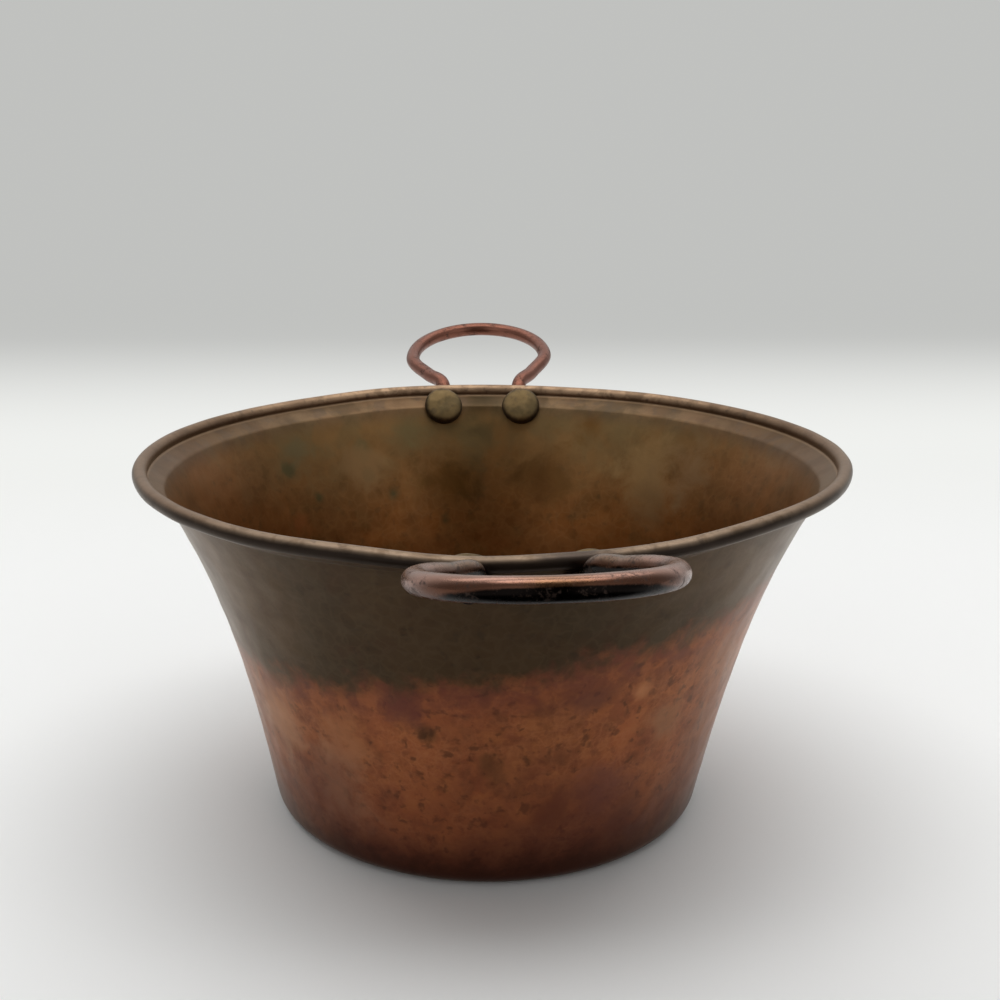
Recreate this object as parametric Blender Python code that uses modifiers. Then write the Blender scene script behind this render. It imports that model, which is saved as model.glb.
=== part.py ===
"""A hammered copper cauldron: a flared pan with a rolled, wired rim and two riveted loop handles.

Metres, +Z up. The origin is the centre of the flat base, on the surface that the pan stands on.
The front handle points along -Y and the rear handle along +Y.
"""

import math

import bpy
import numpy as np
from mathutils import Matrix, Vector

MM = 0.001

# The pan's sheet. Its section is drawn along the middle of the sheet, as radius and height.
SHEET = 1.1 * MM
RIM_RADIUS = 120.0 * MM  # outermost point of the rolled rim
RIM_HEIGHT = 124.6 * MM  # top of the rolled rim
FOOT_RADIUS = 74.2 * MM  # where the line of the wall would meet the ground
FOOT_LEAN = math.radians(11.6)  # the wall's lean from upright, at the foot
FOOT_FILLET = 6.0 * MM  # outer radius of the corner round the flat base
FLARE_POWER = 3.4  # how late the wall opens out

# The crease where the wall turns out into the lip, measured from the rim's outermost and highest points.
CREASE_INSET = 9.6 * MM
CREASE_DROP = 8.0 * MM
CREASE_BEND = 2.5 * MM

# The rim: the sheet is rolled outwards over a wire, and its cut edge stays a little open underneath.
BEAD_DIAMETER = 4.8 * MM
BEAD_PROUD = 0.8 * MM  # how far the bead's centre stands above the line of the lip
BEAD_ROOT = 1.2 * MM  # radius of the hollow between the lip and the bead
CURL_SLOT = 0.4 * MM
WIRE_CLEARANCE = 0.3 * MM

# Handles: a forged rod bent into a loop, whose ends dip under the rim and spread into palms.
ROD_DIAMETER = 6.0 * MM
LOOP_REACH = 73.3 * MM  # from the rim's bead out to the loop's far end, along the centre line's plane
SHOULDER_REACH = 40.0 * MM  # out to where the loop is widest
LOOP_WIDTH = 60.0 * MM  # between the centre lines there
HANDLE_RISE = math.radians(13.7)
HANDLE_DROP = 1.0 * MM  # the handle's plane passes this far below the bead's centre
LEG_SPREAD = 33.2 * MM  # between the two legs' centre lines, at the rim
NECK_LENGTH = 8.5 * MM  # from the rim out to where the leg comes up to the handle's plane
LEG_REACH = 20.0 * MM  # a place halfway along the leg, and the legs' spread there
LEG_MIDDLE_SPREAD = 45.0 * MM
UNDER_CLEARANCE = 0.55 * MM  # between the bead and the rod that passes below it
UNDER_IN = math.radians(-106.0)  # where the rod starts and ends its way round the bead
UNDER_OUT = math.radians(-48.0)
PALM_WIDTH = 14.0 * MM
PALM_THICKNESS = 3.4 * MM
PALM_BEND = math.radians(4.0)  # the palm's lower end follows the steeper wall
PALM_SQUARENESS = 3.6
PALM_FLAT = 4.5 * MM  # the palm keeps its thickness this far past the rivet
PALM_TAPER = 8.5 * MM  # and then thickens into the rod over this length
PALM_NARROWING = 19.0 * MM  # past the rivet, it narrows to the rod over this length
PALM_STANDOFF = 0.6 * MM  # the palm bridges the crease by this much

# Rivets: a broad domed head inside the pan, a shank, and a smaller hammered head on the palm.
RIVET_SPACING = 33.0 * MM
RIVET_TILT = math.radians(38.0)  # how far the rivet points up from level, seen from outside
HEAD_DIAMETER = 16.0 * MM
HEAD_HEIGHT = 3.4 * MM
HEAD_SQUARENESS = 2.8
SHANK_DIAMETER = 4.5 * MM
PEENED_DIAMETER = 8.4 * MM
PEENED_HEIGHT = 1.9 * MM
SPOT_FACE_DEPTH = 0.2 * MM
SPOT_FACE_MARGIN = 0.3 * MM

# The rear handle was set a little off the line through the front one, towards the right.
REAR_OFFSET = math.radians(2.0)

SEAT_GAP = 0.3 * MM  # between pieces that touch

# Facets
PAN_STEPS = 64
WALL_POINTS = 7
CORNER_STEPS = 4
BEND_STEPS = 2
ROOT_STEPS = 3
CURL_STEP = math.radians(30.0)
WIRE_SIDES = 8
ROD_SIDES = 16
PALM_END_ANGLES = np.radians((18.0, 34.0, 50.0, 68.0, 90.0))  # its rings, from the tip to the rivet
NECK_RINGS = 11
LEG_RINGS = 5
LOOP_RINGS = 8
CURVE_SAMPLES = 24  # points on the neck's curve from each knot to the next
RIVET_STEPS = 16
DOME_STEPS = 5
PEENED_STEPS = 3
HOLE_SIDES = 24
SMOOTH_BELOW = math.radians(40.0)  # edges that bend more than this stay sharp
MERGED = 0.001 * MM  # points this close are one

HALF_SHEET = SHEET / 2
BEAD_RADIUS = BEAD_DIAMETER / 2
ROD_RADIUS = ROD_DIAMETER / 2
BEAD_CENTRE = np.array((RIM_RADIUS - BEAD_RADIUS, RIM_HEIGHT - BEAD_RADIUS))
CREASE = np.array((RIM_RADIUS - CREASE_INSET, RIM_HEIGHT - CREASE_DROP))
RIVET_AZIMUTH = math.asin(RIVET_SPACING / 2 / CREASE[0])


def arc(centre, radius, start, end, steps):
    """Points at equal angles on an arc, from the start angle to the end angle."""
    angles = np.linspace(start, end, steps + 1)
    return centre + radius * np.column_stack((np.cos(angles), np.sin(angles)))


def leaning(angle):
    """The direction that leans outwards from upright by an angle, as radius and height."""
    return np.array((math.sin(angle), math.cos(angle)))


def outward_of(direction):
    """The direction square to this one, on its outer and lower side."""
    return np.array((direction[1], -direction[0]))


def offset(line, distance):
    """A line of points moved outwards by a distance, keeping that distance along every stretch."""
    runs = np.diff(line, axis=0)
    runs /= np.linalg.norm(runs, axis=1)[:, None]
    sides = np.column_stack((runs[:, 1], -runs[:, 0]))
    before = np.vstack((sides[:1], sides))
    after = np.vstack((sides, sides[-1:]))
    middle = before + after
    return line + distance * middle * (2 / (middle * middle).sum(axis=1))[:, None]


def base_and_wall():
    """From the base's centre, round the foot, up the flaring wall to the bend at the crease."""
    slope = math.tan(FOOT_LEAN)
    flare = CREASE[0] - FOOT_RADIUS - slope * CREASE[1]
    corner_radius = FOOT_FILLET - HALF_SHEET
    tangent = corner_radius * math.tan((math.pi / 2 - FOOT_LEAN) / 2)
    flat_radius = FOOT_RADIUS + slope * HALF_SHEET - tangent
    corner_centre = (flat_radius, HALF_SHEET + corner_radius)
    corner = arc(corner_centre, corner_radius, -math.pi / 2, -FOOT_LEAN, CORNER_STEPS)
    wall_lean = math.atan(slope + flare * FLARE_POWER / CREASE[1])
    turn = lip_lean() - wall_lean
    wall_top = CREASE - CREASE_BEND * math.tan(turn / 2) * leaning(wall_lean)
    heights = np.linspace(corner[-1][1], wall_top[1], WALL_POINTS)
    radii = FOOT_RADIUS + slope * heights + flare * (heights / CREASE[1]) ** FLARE_POWER
    wall = np.column_stack((radii, heights))
    wall[-1] = wall_top
    bend_centre = wall_top + CREASE_BEND * outward_of(leaning(wall_lean))
    bend = arc(bend_centre, CREASE_BEND, math.pi - wall_lean, math.pi - lip_lean(), BEND_STEPS)
    middle = ((0.0, HALF_SHEET), (flat_radius / 2, HALF_SHEET))
    return np.vstack((middle, corner, wall[1:], bend[1:]))


def lip_lean():
    """The lip aims just below the bead's centre, so that the bead stands proud of it."""
    across, up = BEAD_CENTRE - CREASE
    return math.pi / 2 - math.atan2(up, across) + math.asin(BEAD_PROUD / math.hypot(across, up))


def root_centre():
    """Centre of the hollow that joins the lip's line to the curl round the wire."""
    direction = leaning(lip_lean())
    along = (BEAD_CENTRE - CREASE) @ direction
    reach = BEAD_ROOT + BEAD_RADIUS - HALF_SHEET
    along -= math.sqrt(reach**2 - (BEAD_PROUD - BEAD_ROOT) ** 2)
    return CREASE + along * direction - BEAD_ROOT * outward_of(direction)


def root():
    """The hollow between the lip and the bead."""
    centre = root_centre()
    towards_bead = math.atan2(*(BEAD_CENTRE - centre)[::-1])
    return arc(centre, BEAD_ROOT, -lip_lean(), towards_bead, ROOT_STEPS)


def curl():
    """The roll round the wire, which stops before its cut edge meets the lip."""
    to_root = root_centre() - BEAD_CENTRE
    start = math.atan2(to_root[1], to_root[0]) % (2 * math.pi)
    reach = np.linalg.norm(to_root)
    kept_off = BEAD_ROOT + HALF_SHEET + CURL_SLOT
    opening = math.acos((BEAD_RADIUS**2 + reach**2 - kept_off**2) / (2 * BEAD_RADIUS * reach))
    sweep = 2 * math.pi - opening
    steps = round(sweep / CURL_STEP)
    return arc(BEAD_CENTRE, BEAD_RADIUS - HALF_SHEET, start, start - sweep, steps)


def turned(name, profile, steps, collection):
    """A profile of radii and heights, turned round the Z axis."""
    mesh = bpy.data.meshes.new(name)
    points = [(radius, 0.0, height) for radius, height in profile]
    mesh.from_pydata(points, [(i, i + 1) for i in range(len(points) - 1)], [])
    obj = bpy.data.objects.new(name, mesh)
    collection.objects.link(obj)
    screw = obj.modifiers.new("turn", "SCREW")
    screw.axis = "Z"
    screw.steps = screw.render_steps = steps
    screw.use_merge_vertices = True
    screw.merge_threshold = MERGED
    return obj


def boolean(obj, operation, other):
    """Cuts, joins or crosses an object with another one."""
    modifier = obj.modifiers.new(operation.lower() + " " + other.name, "BOOLEAN")
    modifier.operation = operation
    modifier.solver = "EXACT"
    modifier.object = other


def settled_mesh(obj):
    """The object's mesh with its modifiers applied, smooth but for its real edges."""
    bpy.context.view_layer.update()
    evaluated = obj.evaluated_get(bpy.context.evaluated_depsgraph_get())
    mesh = bpy.data.meshes.new_from_object(evaluated)
    mesh.shade_smooth()
    mesh.set_sharp_from_angle(angle=SMOOTH_BELOW)
    return mesh


def settle(obj):
    """Applies an object's modifiers."""
    mesh = settled_mesh(obj)
    obj.modifiers.clear()
    obj.data = mesh


def metal(name, colour, roughness, metallic):
    """A plain metal finish."""
    material = bpy.data.materials.new(name)
    material.use_nodes = True
    shader = material.node_tree.nodes["Principled BSDF"]
    shader.inputs["Base Color"].default_value = (*colour, 1.0)
    shader.inputs["Roughness"].default_value = roughness
    shader.inputs["Metallic"].default_value = metallic
    return material


def new_collection(name):
    """A collection in the scene."""
    collection = bpy.data.collections.new(name)
    bpy.context.scene.collection.children.link(collection)
    return collection


def hide(obj):
    """Marks a cutter or a guide."""
    obj.hide_render = True
    obj.display_type = "WIRE"
    return obj


def rivet_seat():
    """The frame of a rivet in front: origin on the crease, Z inwards and up along the shank."""
    inwards = Vector((0.0, math.cos(RIVET_TILT), math.sin(RIVET_TILT)))
    sideways = Vector((1.0, 0.0, 0.0))
    upwards = inwards.cross(sideways)
    axes = Matrix((sideways, upwards, inwards)).transposed().to_4x4()
    return Matrix.Translation((0.0, -CREASE[0], CREASE[1])) @ axes


def rod_along(name, radius, start, end, collection):
    """A round cutter along the rivet's axis, between two distances from the crease."""
    bpy.ops.mesh.primitive_cylinder_add(vertices=HOLE_SIDES, radius=radius, depth=end - start)
    obj = bpy.context.object
    obj.name = name
    obj.data.transform(Matrix.Translation((0.0, 0.0, (start + end) / 2)))
    for other in obj.users_collection:
        other.objects.unlink(obj)
    collection.objects.link(obj)
    return hide(obj)


def spline(knots, start_direction, end_direction):
    """A smooth curve through the knots, cubic between each two and paced by the distance between them."""
    gaps = np.linalg.norm(np.diff(knots, axis=0), axis=1)
    slopes = np.diff(knots, axis=0) / gaps[:, None]
    directions = np.vstack((start_direction, slopes[1:], end_direction))
    weights = gaps[:-1, None] + gaps[1:, None]
    directions[1:-1] = (slopes[:-1] * gaps[1:, None] + slopes[1:] * gaps[:-1, None]) / weights
    t = np.linspace(0.0, 1.0, CURVE_SAMPLES, endpoint=False)[:, None]
    spans = []
    for i, gap in enumerate(gaps):
        spans.append(
            (2 * t**3 - 3 * t**2 + 1) * knots[i]
            + (t**3 - 2 * t**2 + t) * gap * directions[i]
            + (3 * t**2 - 2 * t**3) * knots[i + 1]
            + (t**3 - t**2) * gap * directions[i + 1]
        )
    return np.vstack(spans + [knots[-1:]])


def in_front(radius, height, side):
    """A point at a true radius and height in front of the pan, at a distance to the side."""
    return np.array((side, -math.sqrt(radius**2 - side**2), height))


def on_handle_plane(along, side):
    """A point of the handle's plane, which rises outwards from just below the bead."""
    out = BEAD_CENTRE[0] + along * math.cos(HANDLE_RISE)
    up = BEAD_CENTRE[1] - HANDLE_DROP + along * math.sin(HANDLE_RISE)
    return np.array((side, -out, up))


def palm_directions():
    """Unit vectors at the rivet: along the palm towards the rim, and out through its face."""
    radial = np.array((math.sin(RIVET_AZIMUTH), -math.cos(RIVET_AZIMUTH), 0.0))
    up = np.array((0.0, 0.0, 1.0))
    along = math.sin(RIVET_TILT) * radial + math.cos(RIVET_TILT) * up
    through = math.cos(RIVET_TILT) * radial - math.sin(RIVET_TILT) * up
    return along, through


def half_path():
    """The centre line of half a handle: neck and leg, from the palm's tip to the shoulder, then the loop to its middle."""
    radial = np.array((math.sin(RIVET_AZIMUTH), -math.cos(RIVET_AZIMUTH), 0.0))
    up = np.array((0.0, 0.0, 1.0))
    through = palm_directions()[1]
    crease = CREASE[0] * radial + CREASE[1] * up
    at_rivet = crease + (HALF_SHEET + PALM_STANDOFF + PALM_THICKNESS / 2) * through
    down_tilt = RIVET_TILT - PALM_BEND
    down = -math.sin(down_tilt) * radial - math.cos(down_tilt) * up
    lower_end = at_rivet + PALM_WIDTH / 2 * down
    reach = BEAD_RADIUS + UNDER_CLEARANCE + ROD_RADIUS
    under = []
    for turn in (UNDER_IN, UNDER_OUT):
        radius, height = BEAD_CENTRE + reach * np.array((math.cos(turn), math.sin(turn)))
        under.append(in_front(radius, height, LEG_SPREAD / 2))
    leg = (
        on_handle_plane(NECK_LENGTH, LEG_SPREAD / 2),
        on_handle_plane(LEG_REACH, LEG_MIDDLE_SPREAD / 2),
        on_handle_plane(SHOULDER_REACH, LOOP_WIDTH / 2),
    )
    outwards = np.array((0.0, -math.cos(HANDLE_RISE), math.sin(HANDLE_RISE)))
    line = spline(np.array((lower_end, at_rivet, *under, *leg)), -down, outwards)
    ellipse = arc((0.0, 0.0), 1.0, math.pi / 2, 0.0, LOOP_RINGS)
    ellipse = ellipse * (LOOP_REACH - SHOULDER_REACH, LOOP_WIDTH / 2) + (SHOULDER_REACH, 0.0)
    return line, np.array([on_handle_plane(*point) for point in ellipse])


def falling(t):
    """Falls smoothly from one to nought as t goes from nought to one."""
    return (1 + np.cos(math.pi * np.clip(t, 0.0, 1.0))) / 2


def half_handle_mesh(name):
    """A loft from the flat, round palm to the round rod. Each ring is a rounded rectangle or a circle."""
    neck, loop = half_path()
    distance = np.concatenate(((0.0,), np.cumsum(np.linalg.norm(np.diff(neck, axis=0), axis=1))))
    palm_radius = PALM_WIDTH / 2
    palm_end = palm_radius * (1 - np.cos(PALM_END_ANGLES))
    neck_end = distance[-1 - 2 * CURVE_SAMPLES]
    neck_rings = np.linspace(palm_radius, neck_end, NECK_RINGS + 1)[1:]
    leg_rings = np.linspace(neck_end, distance[-1], LEG_RINGS + 1)[1:]
    stations = np.concatenate((palm_end, neck_rings, leg_rings))
    centres = np.column_stack([np.interp(stations, distance, neck[:, i]) for i in range(3)])
    headings = np.gradient(neck, distance, axis=0)
    tangents = np.column_stack([np.interp(stations, distance, headings[:, i]) for i in range(3)])
    turning = np.gradient(loop, axis=0)[1:]
    turning[-1] = (-1.0, 0.0, 0.0)
    centres = np.vstack((centres, loop[1:]))
    tangents = np.vstack((tangents, turning))
    tangents /= np.linalg.norm(tangents, axis=1)[:, None]
    stations = np.concatenate((stations, np.full(LOOP_RINGS, distance[-1])))
    through = palm_directions()[1]
    thick = through - (tangents @ through)[:, None] * tangents
    thick /= np.linalg.norm(thick, axis=1)[:, None]
    wide = np.cross(thick, tangents)
    narrowing = falling((stations - palm_radius) / PALM_NARROWING)
    thickening = falling((stations - palm_radius - PALM_FLAT) / PALM_TAPER)
    disc = np.sqrt(np.clip(palm_radius**2 - (stations - palm_radius) ** 2, 0.0, None))
    half_width = np.where(
        stations < palm_radius, disc, ROD_RADIUS + (palm_radius - ROD_RADIUS) * narrowing
    )
    half_thickness = ROD_RADIUS + (PALM_THICKNESS / 2 - ROD_RADIUS) * thickening
    power = 2 / (2 + (PALM_SQUARENESS - 2) * thickening)[:, None]
    angles = np.arange(ROD_SIDES) * 2 * math.pi / ROD_SIDES
    across = np.sign(np.cos(angles)) * np.abs(np.cos(angles)) ** power * half_width[:, None]
    deep = np.sign(np.sin(angles)) * np.abs(np.sin(angles)) ** power * half_thickness[:, None]
    rings = centres[:, None] + across[..., None] * wide[:, None] + deep[..., None] * thick[:, None]
    rings[-1, :, 0] = 0.0
    faces = [tuple(range(ROD_SIDES))[::-1]]
    for ring in range(len(stations) - 1):
        for k in range(ROD_SIDES):
            a = ring * ROD_SIDES + k
            b = ring * ROD_SIDES + (k + 1) % ROD_SIDES
            faces.append((a, b, b + ROD_SIDES, a + ROD_SIDES))
    mesh = bpy.data.meshes.new(name)
    mesh.from_pydata(rings.reshape(-1, 3).tolist(), [], faces)
    return mesh


for old in list(bpy.data.objects):
    bpy.data.objects.remove(old, do_unlink=True)

cauldron = new_collection("copper_cauldron")
cutters = new_collection("cutters")
seat = rivet_seat()

# The sides: each carries a handle and its two rivets, and turns them into place as one.
sides = {}
for side_name, turn in (("front", 0.0), ("rear", math.pi - REAR_OFFSET)):
    side = bpy.data.objects.new(side_name + "_side", None)
    side.rotation_euler.z = turn
    cauldron.objects.link(side)
    sides[side_name] = side

# Distances along a rivet's axis, from the crease towards the inside of the pan.
inner_seat = HALF_SHEET + SEAT_GAP
palm_face = -(HALF_SHEET + PALM_STANDOFF + PALM_THICKNESS)
spot_face = palm_face + SPOT_FACE_DEPTH
peened_seat = spot_face - SEAT_GAP

# Cutters for the rivet holes and for the flat seats of their hammered heads.
hole_radius = SHANK_DIAMETER / 2 + SEAT_GAP
seat_radius = PEENED_DIAMETER / 2 + SPOT_FACE_MARGIN
holes = {}
spot_faces = {}
for side_name, side in sides.items():
    for hand, sign in (("left", -1), ("right", 1)):
        place = Matrix.Rotation(sign * RIVET_AZIMUTH, 4, "Z") @ seat
        key = side_name + "_" + hand
        holes[key] = rod_along(
            key + "_hole", hole_radius, palm_face - HEAD_HEIGHT, HEAD_HEIGHT, cutters
        )
        spot_faces[key] = rod_along(
            key + "_spot_face", seat_radius, spot_face - HEAD_HEIGHT, spot_face, cutters
        )
        for cutter in (holes[key], spot_faces[key]):
            cutter.parent = side
            cutter.matrix_basis = place

# The pan: one sheet, from the base to the curled rim, with a hole for each rivet.
pan = turned("pan_body", np.vstack((base_and_wall(), root(), curl()[1:])), PAN_STEPS, cauldron)
solidify = pan.modifiers.new("sheet", "SOLIDIFY")
solidify.thickness = SHEET
solidify.offset = 0.0
solidify.use_even_offset = True
for hole in holes.values():
    boolean(pan, "DIFFERENCE", hole)
settle(pan)
pan.data.materials.append(metal("patinated copper", (0.33, 0.15, 0.08), 0.45, 1.0))

# The wire that the rim is rolled over.
wire_radius = BEAD_RADIUS - SHEET - WIRE_CLEARANCE
bpy.ops.mesh.primitive_torus_add(
    major_segments=PAN_STEPS,
    minor_segments=WIRE_SIDES,
    major_radius=BEAD_CENTRE[0],
    minor_radius=wire_radius,
    location=(0.0, 0.0, BEAD_CENTRE[1]),
)
wire = bpy.context.object
wire.name = "rim_wire"
for other in wire.users_collection:
    other.objects.unlink(wire)
cauldron.objects.link(wire)
wire.data.shade_smooth()
wire.data.materials.append(metal("rim wire iron", (0.14, 0.12, 0.11), 0.6, 0.9))

# Guides that give every seated piece its gap: the pan's outside, its bead, and the space inside it.
above = RIM_HEIGHT + HEAD_DIAMETER
seat_offset = HALF_SHEET + SEAT_GAP
outer_line = offset(np.vstack((base_and_wall(), root()[:1])), seat_offset)
lip_end = outer_line[-1] + BEAD_RADIUS * leaning(lip_lean())
outside = np.vstack((outer_line, lip_end, (lip_end[0], above), (0.0, above)))
outside_guide = hide(turned("outside_guide", outside[::-1], PAN_STEPS, cutters))
rim_curl = curl()
over_bead = rim_curl[1 : 1 + np.argmax(rim_curl[:, 1])]
inner_line = offset(np.vstack((base_and_wall(), root(), over_bead)), -seat_offset)
inside = np.vstack((inner_line, (inner_line[-1][0], above), (0.0, above)))
inside_guide = hide(turned("inside_guide", inside[::-1], PAN_STEPS, cutters))

# Handles: both are bent and forged alike, so they share a mesh.
handle = bpy.data.objects.new("front_handle", half_handle_mesh("handle"))
cauldron.objects.link(handle)
mirror = handle.modifiers.new("other half", "MIRROR")
mirror.use_axis = (True, False, False)
mirror.merge_threshold = MERGED
boolean(handle, "DIFFERENCE", outside_guide)
for key in ("front_left", "front_right"):
    boolean(handle, "DIFFERENCE", holes[key])
    boolean(handle, "DIFFERENCE", spot_faces[key])
settle(handle)
handle.data.materials.append(metal("handle copper", (0.36, 0.17, 0.13), 0.4, 1.0))
handle.parent = sides["front"]
rear_handle = bpy.data.objects.new("rear_handle", handle.data)
cauldron.objects.link(rear_handle)
rear_handle.parent = sides["rear"]

# Rivets: the head's rim is dressed down to the pan's inside, and the shank passes sheet and palm.
dome = arc((0.0, 0.0), 1.0, math.pi / 2, 0.0, DOME_STEPS).clip(0.0) ** (2 / HEAD_SQUARENESS)
dome = dome * (HEAD_DIAMETER / 2, HEAD_HEIGHT)
dome[0][0] = 0.0
skirt = -HEAD_HEIGHT
head_profile = np.vstack((dome, (HEAD_DIAMETER / 2, skirt), (0.0, skirt))) + (0.0, inner_seat)
head = turned("rivet_head", head_profile, RIVET_STEPS, cauldron)
head.matrix_world = seat
peened = arc((0.0, 0.0), 1.0, 0.0, -math.pi / 2, PEENED_STEPS) * (PEENED_DIAMETER / 2, PEENED_HEIGHT)
peened[-1][0] = 0.0
shank_top = inner_seat + HEAD_HEIGHT / 2
shank_profile = np.vstack(
    (
        (0.0, shank_top),
        (SHANK_DIAMETER / 2, shank_top),
        (SHANK_DIAMETER / 2, peened_seat),
        peened + (0.0, peened_seat),
    )
)
shank = hide(turned("rivet_shank", shank_profile, RIVET_STEPS, cutters))
shank.matrix_world = seat
boolean(head, "INTERSECT", inside_guide)
boolean(head, "UNION", shank)
rivet_mesh = settled_mesh(head)
rivet_mesh.name = "rivet"
rivet_mesh.materials.clear()
rivet_mesh.materials.append(metal("rivet copper", (0.3, 0.2, 0.1), 0.5, 1.0))
bpy.data.objects.remove(head, do_unlink=True)
for side_name, side in sides.items():
    for hand, sign in (("left", -1), ("right", 1)):
        rivet = bpy.data.objects.new(side_name + "_" + hand + "_rivet", rivet_mesh)
        cauldron.objects.link(rivet)
        rivet.parent = side
        rivet.matrix_basis = Matrix.Rotation(sign * RIVET_AZIMUTH, 4, "Z") @ seat
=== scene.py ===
"""A hammered copper cauldron on a pale table: the flared pan with its rolled, wired rim, two riveted loop
handles, and the light and camera that show it. Metres, +Z up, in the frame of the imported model.
"""

import math

import bmesh
import bpy
import numpy as np
from mathutils import Matrix


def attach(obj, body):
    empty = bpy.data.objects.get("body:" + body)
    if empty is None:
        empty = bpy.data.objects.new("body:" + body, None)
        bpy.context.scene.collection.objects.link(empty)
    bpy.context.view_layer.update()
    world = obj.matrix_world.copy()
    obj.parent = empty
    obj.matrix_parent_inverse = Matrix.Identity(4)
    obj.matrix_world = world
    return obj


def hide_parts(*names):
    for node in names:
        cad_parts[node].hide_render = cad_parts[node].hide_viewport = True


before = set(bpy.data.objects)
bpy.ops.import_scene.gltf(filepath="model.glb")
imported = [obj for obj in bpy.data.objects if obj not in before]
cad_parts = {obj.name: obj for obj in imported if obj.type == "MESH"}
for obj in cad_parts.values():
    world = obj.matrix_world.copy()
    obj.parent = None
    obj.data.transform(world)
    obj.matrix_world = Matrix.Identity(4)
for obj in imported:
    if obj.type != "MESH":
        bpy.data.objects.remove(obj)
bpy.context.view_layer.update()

# The pan: one disc of copper, raised with a hammer into a flat base, a flaring wall and a creased lip.
# Its edge is rolled outwards over a wire. The fire has left bare, mottled copper below a dark olive band.
MM = 0.001
UP = np.array((0.0, 0.0, 1.0))
SHEET = 1.1 * MM
RIM_RADIUS = 120.0 * MM  # outermost point of the rolled rim
RIM_HEIGHT = 124.6 * MM  # top of the rolled rim
FOOT_RADIUS = 74.2 * MM  # where the line of the wall would meet the table
FOOT_LEAN = math.radians(11.6)
FOOT_FILLET = 6.0 * MM
FLARE_POWER = 3.4
CREASE_INSET = 9.6 * MM  # the crease, measured from the rim's outermost and highest points
CREASE_DROP = 8.0 * MM
CREASE_BEND = 2.5 * MM
BEAD_DIAMETER = 4.8 * MM
BEAD_PROUD = 0.8 * MM  # how far the bead's centre stands above the line of the lip
BEAD_ROOT = 1.2 * MM  # radius of the hollow between the lip and the bead
CURL_SLOT = 0.4 * MM  # the cut edge stays this far open underneath
HALF_SHEET = SHEET / 2
BEAD_RADIUS = BEAD_DIAMETER / 2
BEAD_CENTRE = np.array((RIM_RADIUS - BEAD_RADIUS, RIM_HEIGHT - BEAD_RADIUS))
CREASE = np.array((RIM_RADIUS - CREASE_INSET, RIM_HEIGHT - CREASE_DROP))
PAN_COLUMNS = 312
BLOWS_ROUND = 60  # hammer marks in one round of the wall
BLOW_HEIGHT = 9.0 * MM
BLOW_DEPTH = 0.26 * MM
BASE_DEPTH = 0.7 * BLOW_DEPTH
BLOW_SCATTER = 0.34  # how far a mark strays from its place in the rows, in spacings
BLOW_SHARPNESS = 11  # k below: the larger, the sharper the ridges between the marks
MEAN_MARK = 0.12  # height of the marked skin's mean, which lies on the true sheet
SLOW_SWELL, QUICK_SWELL = 0.17 * MM, 0.11 * MM  # waves that wind up the wall
BEAD_DRESSING = 0.12 * MM  # the hammer took this much off the bead in places
FOOT_SHIFT = -1.5 * MM  # the base was raised a little off the rim's centre
RIM_WAVES = ((1.41, 353), (0.37, 148), (0.42, 75))  # one, two and three round: millimetres, crest
CALM_AZIMUTHS = (-90.0, 88.0)  # at the handles the rim has no waves
CALM, WAVY = math.radians(15), math.radians(38)  # angles from there to where they start and are full
SAGS = ((2.0, -100, 12.5), (0.9, -80, 13))  # at the front handle's legs: millimetres, azimuth, width
SWAYS = ((2.2, -98, 9),)  # the same, sideways
PULL_FADES, PULL_ENDS = 122 * MM, 150 * MM  # distances from the pan's axis
SLOPE = math.tan(FOOT_LEAN)
FLARE = CREASE[0] - FOOT_RADIUS - SLOPE * CREASE[1]


def full_turn(count):
    """Angles that share a full turn out equally."""
    return np.arange(count) * 2 * math.pi / count


def turned(radius, angle, height):
    """Points at a radius, angle and height about the Z axis."""
    return np.stack(np.broadcast_arrays(radius * np.cos(angle), radius * np.sin(angle), height), axis=-1)


def unit(vectors):
    """Vectors of the same directions, of length one."""
    return vectors / np.linalg.norm(vectors, axis=-1, keepdims=True)


def gone_along(line):
    """How far along a line each of its points lies."""
    return np.concatenate(((0.0,), np.cumsum(np.linalg.norm(np.diff(line, axis=0), axis=1))))


def arc(centre, radius, start, end, steps):
    """Points at equal angles on an arc, from the start angle to the end angle."""
    angles = np.linspace(start, end, steps + 1)
    return centre + radius * np.column_stack((np.cos(angles), np.sin(angles)))


def eased(value, low, high):
    """Goes smoothly from nought to one while the value goes from low to high."""
    t = np.clip((value - low) / (high - low), 0.0, 1.0)
    return t * t * (3 - 2 * t)


def offset(line, distance):
    """A line of points moved outwards by a distance, keeping that distance along every stretch."""
    runs = unit(np.diff(line, axis=0))
    sides = np.column_stack((runs[:, 1], -runs[:, 0]))
    middle = np.vstack((sides[:1], sides)) + np.vstack((sides, sides[-1:]))
    return line + distance * middle * (2 / (middle * middle).sum(axis=1))[:, None]


def wall_radius(height):
    """Radius of the wall's middle: it leans evenly, and opens out with a power of its height."""
    return FOOT_RADIUS + SLOPE * height + FLARE * (np.maximum(height, 0.0) / CREASE[1]) ** FLARE_POWER


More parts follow.
